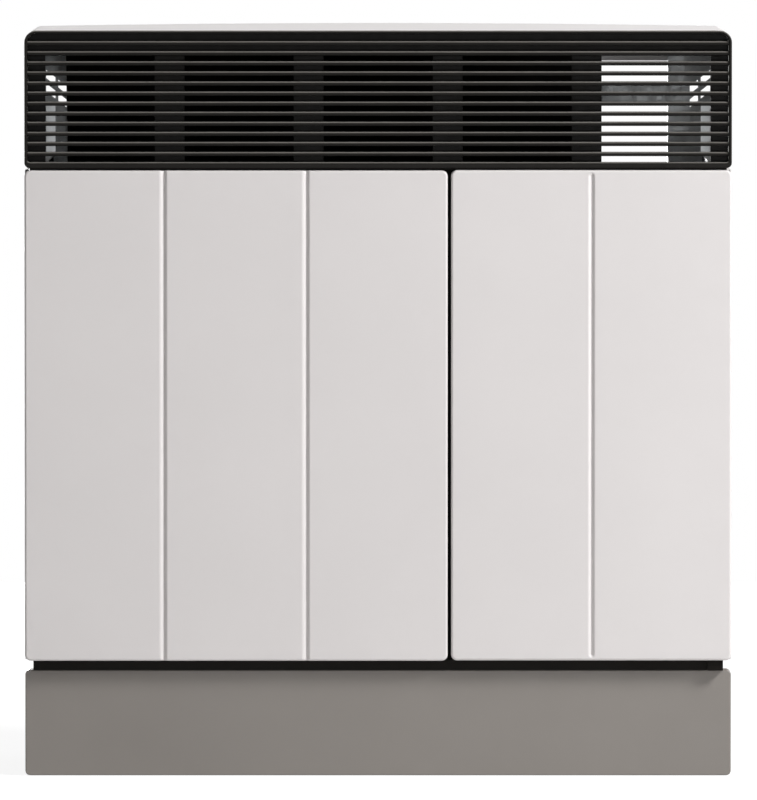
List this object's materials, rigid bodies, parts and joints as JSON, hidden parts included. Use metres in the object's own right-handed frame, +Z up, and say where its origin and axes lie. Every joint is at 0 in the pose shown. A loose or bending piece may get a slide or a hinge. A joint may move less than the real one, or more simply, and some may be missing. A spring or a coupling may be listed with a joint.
{
  "type": "gas convector heater",
  "caption": "Floor-standing balanced-flue gas room heater with louvred top outlet, hinged control door, recessed plinth and rear flue sleeve.",
  "frame": {"origin": "On the floor, under the middle of the casing in width and depth", "axes": "+X to the viewer's right, +Y from the front to the wall, +Z up"},
  "size_m": [0.6, 0.24, 0.636],
  "materials": {
    "casing_paint": "white powder coat, satin",
    "grille_black": "black heat-resistant moulding, satin",
    "black_paint": "black paint, satin",
    "plinth_paint": "taupe powder coat, satin",
    "galvanised": "galvanised sheet",
    "shield_steel": "aluminised sheet",
    "exchanger_steel": "heat-resistant enamel",
    "burner_steel": "stainless sheet",
    "gasket_fibre": "ceramic fibre board",
    "brass": "turned brass",
    "copper": "drawn copper",
    "aluminium_tube": "drawn aluminium",
    "valve_aluminium": "die cast",
    "black_plastic": "black moulding",
    "red_plastic": "red moulding",
    "nylon": "natural nylon",
    "rubber": "black rubber",
    "lead_silicone": "silicone sleeve",
    "ceramic": "glazed ceramic",
    "glass": "heat-resistant glass",
    "screw_steel": "zinc plated"
  },
  "bodies": {
    "casing": {"front_panel": "casing_paint", "side_panel_left": "casing_paint", "side_panel_right": "casing_paint", "hood": "casing_paint", "hinge_pins": "screw_steel", "magnet_catch": "black_plastic", "door_jamb": "black_paint", "grille_rim": "grille_black", "grille_bars": "grille_black", "grille_uprights": "grille_black", "grille_top_strip": "grille_black", "joint_strip": "black_paint", "joint_rails": "black_paint", "plinth": "plinth_paint", "leg_left": "black_paint", "leg_right": "black_paint", "floor_front_rail": "black_paint", "floor_rear_rail": "black_paint", "floor_side_rails": "black_paint", "post_left": "galvanised", "post_right": "galvanised", "tie_rail": "galvanised", "rear_shield": "shield_steel", "wall_brackets": "galvanised", "air_deflector": "black_paint", "divider": "galvanised", "exchanger_supports": "galvanised", "exchanger_front_shell": "exchanger_steel", "exchanger_rear_shell": "exchanger_steel", "burner_plate": "burner_steel", "burner_gasket": "gasket_fibre", "burner": "burner_steel", "injector": "brass", "pilot_burner": "burner_steel", "thermocouple": "copper", "spark_electrode": "ceramic", "sight_glass": "glass", "sight_glass_frame": "burner_steel", "air_box": "galvanised", "air_collar": "galvanised", "collar_gasket": "rubber", "flue_pipe": "burner_steel", "control_fascia": "galvanised", "gas_valve": "valve_aluminium", "igniter_body": "black_plastic", "main_gas_pipe": "copper", "pilot_pipe": "aluminium_tube", "ignition_lead": "lead_silicone", "thermostat_sensor": "copper", "sensor_clips": "galvanised", "gas_inlet": "brass", "sheet_metal_screws": "screw_steel"},
    "door": {"control_door": "casing_paint", "door_stiffener": "galvanised", "door_striker": "galvanised", "hinge_bushes": "nylon"},
    "plunger": {"valve_plunger": "brass"},
    "knob": {"control_knob": "black_plastic", "knob_spindle": "brass"},
    "button": {"igniter_button": "red_plastic"}
  },
  "joints": [
    {"name": "door_hinge", "type": "hinge", "parent": "casing", "child": "door", "pos_m": [0.289, -0.111, 0.3], "axis": [0, 0, 1], "range_deg": [0, 105]},
    {"name": "knob_push", "type": "slide", "parent": "casing", "child": "plunger", "axis": [0, 1, 0], "range_m": [0, 0.0035], "stiffness_N_per_m": 2000},
    {"name": "knob_turn", "type": "hinge", "parent": "plunger", "child": "knob", "pos_m": [0.185, -0.09, 0.27], "axis": [0, -1, 0], "range_deg": [0, 270]},
    {"name": "igniter_push", "type": "slide", "parent": "casing", "child": "button", "axis": [0, 1, 0], "range_m": [0, 0.006], "stiffness_N_per_m": 1500}
  ]
}
